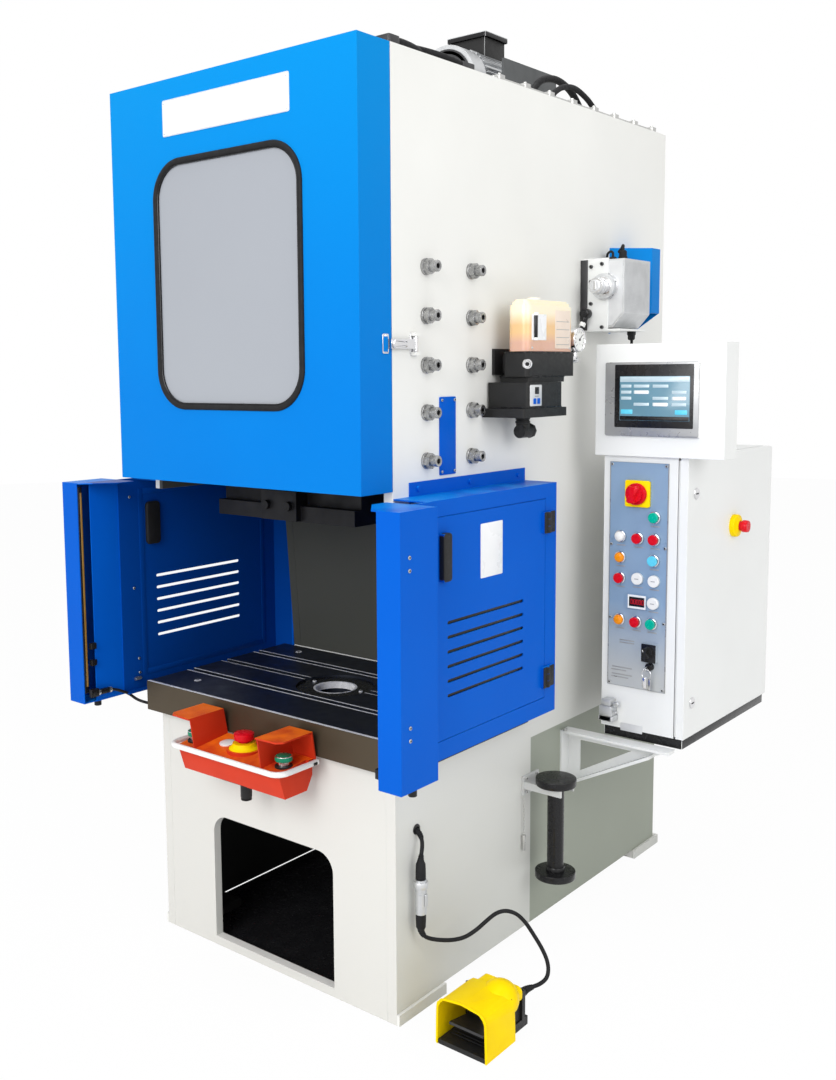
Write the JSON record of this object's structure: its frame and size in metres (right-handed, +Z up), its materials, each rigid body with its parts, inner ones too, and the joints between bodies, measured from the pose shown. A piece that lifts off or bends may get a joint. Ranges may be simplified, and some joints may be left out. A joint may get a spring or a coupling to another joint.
{
  "type": "eccentric press",
  "caption": "C-frame eccentric press with a front-window cover, T-slotted bolster, side guards, two-hand console, side cabinet with display, and foot switch.",
  "frame": {"origin": "centre of the four anchor holes at floor level", "axes": "+X towards the operator's right, +Y from the operator to the rear, +Z up"},
  "size_m": [1.448, 1.58, 2.555],
  "materials": {
    "white_paint": "semi-gloss",
    "blue_paint": "semi-gloss",
    "grey_paint": "satin",
    "panel_paint": "satin",
    "ground_steel": "ground",
    "dark_steel": "oiled",
    "cast_iron": "machined",
    "bronze": "turned",
    "aluminium": "cast",
    "chrome": "polished",
    "black_plastic": "fine grain",
    "orange_plastic": "gloss",
    "yellow_plastic": "gloss",
    "red_plastic": "gloss",
    "green_plastic": "gloss",
    "cyan_plastic": "gloss",
    "amber_plastic": "translucent",
    "grey_pane": "flat",
    "cord_rubber": "matt"
  },
  "bodies": {
    "frame": {"frame_side_right": "white_paint", "frame_side_left": "white_paint", "frame_crossplates": "white_paint", "frame_rear_plate": "white_paint", "foot_pads": "white_paint", "bolster": "dark_steel", "crank_housing": "cast_iron", "slide_gibs": "ground_steel", "gib_bolts": "ground_steel", "motor": "aluminium", "motor_base": "dark_steel", "side_guard_right": "blue_paint", "side_guard_left": "blue_paint", "light_posts": "blue_paint", "console_body": "orange_plastic", "console_rail": "white_paint", "lubricator_tank": "amber_plastic", "lubricator_base": "black_plastic", "cam_switch_bracket": "white_paint", "cam_switch_housing": "aluminium", "cam_switch_guard": "blue_paint", "cabinet_shell": "white_paint", "cabinet_brackets": "grey_paint", "control_panel": "panel_paint", "display_housing": "white_paint", "safety_block": "black_plastic", "safety_block_holder": "grey_paint", "foot_switch_base": "black_plastic", "foot_switch_hood": "yellow_plastic", "foot_cord": "cord_rubber", "cord_coupling": "aluminium"},
    "crankshaft": {"crankshaft": "ground_steel"},
    "eccentric_bush": {"eccentric_bush": "bronze"},
    "slide": {"ram": "cast_iron", "connecting_rod": "ground_steel"},
    "flywheel": {"flywheel": "cast_iron"},
    "motor_pulley": {"motor_pulley": "dark_steel"},
    "cam_switch_shaft": {"cam_switch_shaft": "chrome"},
    "front_cover": {"front_cover": "blue_paint", "window_pane": "grey_pane"},
    "latch_lever": {"latch_lever": "ground_steel"},
    "guard_door_right": {"guard_door_right": "blue_paint"},
    "guard_door_left": {"guard_door_left": "blue_paint"},
    "cabinet_door": {"cabinet_door": "white_paint"},
    "start_button_left": {"start_button_left": "green_plastic"},
    "start_button_right": {"start_button_right": "green_plastic"},
    "console_stop_button": {"console_stop_button": "red_plastic"},
    "main_switch_knob": {"main_switch_knob": "red_plastic"},
    "mode_selector_knob": {"mode_selector_knob": "black_plastic"},
    "start_motor_button": {"start_motor_button": "green_plastic"},
    "stop_motor_button": {"stop_motor_button": "red_plastic"},
    "reset_button": {"reset_button": "red_plastic"},
    "fault_button": {"fault_button": "cyan_plastic"},
    "clutch_button": {"clutch_button": "red_plastic"},
    "slide_up_button": {"slide_up_button": "red_plastic"},
    "slide_down_button": {"slide_down_button": "green_plastic"},
    "door_stop_button": {"door_stop_button": "red_plastic"},
    "door_lock_upper": {"door_lock_upper": "chrome"},
    "door_lock_lower": {"door_lock_lower": "chrome"},
    "foot_pedal": {"foot_pedal": "dark_steel"}
  },
  "joints": [
    {"name": "crank_turn", "type": "hinge", "parent": "frame", "child": "crankshaft", "pos_m": [0, -0.381, 1.96], "axis": [0, 1, 0], "continuous": true},
    {"name": "bush_turn", "type": "hinge", "parent": "crankshaft", "child": "eccentric_bush", "pos_m": [0, -0.461, 1.98], "axis": [0, 1, 0], "continuous": true},
    {"name": "slide_hang", "type": "hinge", "parent": "eccentric_bush", "child": "slide", "pos_m": [0, -0.461, 2], "axis": [0, 1, 0], "continuous": true},
    {"name": "flywheel_turn", "type": "hinge", "parent": "frame", "child": "flywheel", "pos_m": [0, 0.559, 1.96], "axis": [0, 1, 0], "continuous": true},
    {"name": "pulley_turn", "type": "hinge", "parent": "frame", "child": "motor_pulley", "pos_m": [0, 0.559, 2.4], "axis": [0, 1, 0], "continuous": true},
    {"name": "cam_switch_turn", "type": "hinge", "parent": "frame", "child": "cam_switch_shaft", "pos_m": [0.492, 0.189, 1.788], "axis": [0, 1, 0], "continuous": true},
    {"name": "cover_open", "type": "hinge", "parent": "frame", "child": "front_cover", "pos_m": [-0.425, -0.689, 1.78], "axis": [0, 0, -1], "range_deg": [0, 100]},
    {"name": "latch_open", "type": "hinge", "parent": "frame", "child": "latch_lever", "pos_m": [0.425, -0.605, 1.624], "axis": [0, 0, 1], "range_deg": [0, 110]},
    {"name": "guard_door_right_open", "type": "hinge", "parent": "frame", "child": "guard_door_right", "pos_m": [0.522, -0.175, 0.97], "axis": [0, 0, 1], "range_deg": [0, 110]},
    {"name": "guard_door_left_open", "type": "hinge", "parent": "frame", "child": "guard_door_left", "pos_m": [-0.522, -0.175, 0.97], "axis": [0, 0, -1], "range_deg": [0, 110]},
    {"name": "start_button_left_press", "type": "slide", "parent": "frame", "child": "start_button_left", "axis": [0, 0, -1], "range_m": [0, 0.005], "stiffness_N_per_m": 800, "springref_m": -0.003},
    {"name": "start_button_right_press", "type": "slide", "parent": "frame", "child": "start_button_right", "axis": [0, 0, -1], "range_m": [0, 0.005], "stiffness_N_per_m": 800, "springref_m": -0.003},
    {"name": "console_stop_press", "type": "slide", "parent": "frame", "child": "console_stop_button", "axis": [0, 0, -1], "range_m": [0, 0.005]},
    {"name": "main_switch_turn", "type": "hinge", "parent": "frame", "child": "main_switch_knob", "pos_m": [0.625, 0.099, 1.228], "axis": [0, 1, 0], "range_deg": [0, 90]},
    {"name": "mode_selector_turn", "type": "hinge", "parent": "frame", "child": "mode_selector_knob", "pos_m": [0.669, 0.094, 0.8], "axis": [0, 1, 0], "range_deg": [-45, 45]},
    {"name": "start_motor_button_press", "type": "slide", "parent": "frame", "child": "start_motor_button", "axis": [0, 1, 0], "range_m": [0, 0.003], "stiffness_N_per_m": 400, "springref_m": -0.002},
    {"name": "stop_motor_button_press", "type": "slide", "parent": "frame", "child": "stop_motor_button", "axis": [0, 1, 0], "range_m": [0, 0.003], "stiffness_N_per_m": 400, "springref_m": -0.002},
    {"name": "reset_button_press", "type": "slide", "parent": "frame", "child": "reset_button", "axis": [0, 1, 0], "range_m": [0, 0.003], "stiffness_N_per_m": 400, "springref_m": -0.002},
    {"name": "fault_button_press", "type": "slide", "parent": "frame", "child": "fault_button", "axis": [0, 1, 0], "range_m": [0, 0.003], "stiffness_N_per_m": 400, "springref_m": -0.002},
    {"name": "clutch_button_press", "type": "slide", "parent": "frame", "child": "clutch_button", "axis": [0, 1, 0], "range_m": [0, 0.003], "stiffness_N_per_m": 400, "springref_m": -0.002},
    {"name": "slide_up_button_press", "type": "slide", "parent": "frame", "child": "slide_up_button", "axis": [0, 1, 0], "range_m": [0, 0.003], "stiffness_N_per_m": 400, "springref_m": -0.002},
    {"name": "slide_down_button_press", "type": "slide", "parent": "frame", "child": "slide_down_button", "axis": [0, 1, 0], "range_m": [0, 0.003], "stiffness_N_per_m": 400, "springref_m": -0.002},
    {"name": "cabinet_door_open", "type": "hinge", "parent": "frame", "child": "cabinet_door", "pos_m": [0.741, 0.71, 0.95], "axis": [0, 0, 1], "range_deg": [0, 120]},
    {"name": "door_stop_press", "type": "slide", "parent": "cabinet_door", "child": "door_stop_button", "axis": [-1, 0, 0], "range_m": [0, 0.006]},
    {"name": "door_lock_upper_turn", "type": "hinge", "parent": "cabinet_door", "child": "door_lock_upper", "pos_m": [0.76, 0.171, 1.232], "axis": [1, 0, 0], "range_deg": [0, 90]},
    {"name": "door_lock_lower_turn", "type": "hinge", "parent": "cabinet_door", "child": "door_lock_lower", "pos_m": [0.76, 0.171, 0.662], "axis": [1, 0, 0], "range_deg": [0, 90]},
    {"name": "pedal_press", "type": "hinge", "parent": "frame", "child": "foot_pedal", "pos_m": [0.6, -0.571, 0.034], "axis": [1, 0, 0], "range_deg": [0, 12], "stiffness_Nm_per_rad": 6, "springref_deg": -14.32}
  ],
  "couplings": [
    {"joint": "bush_turn", "follows": "crank_turn", "ratio": -2},
    {"joint": "slide_hang", "follows": "crank_turn", "ratio": 1},
    {"joint": "cam_switch_turn", "follows": "crank_turn", "ratio": 1},
    {"joint": "pulley_turn", "follows": "flywheel_turn", "ratio": 5}
  ]
}
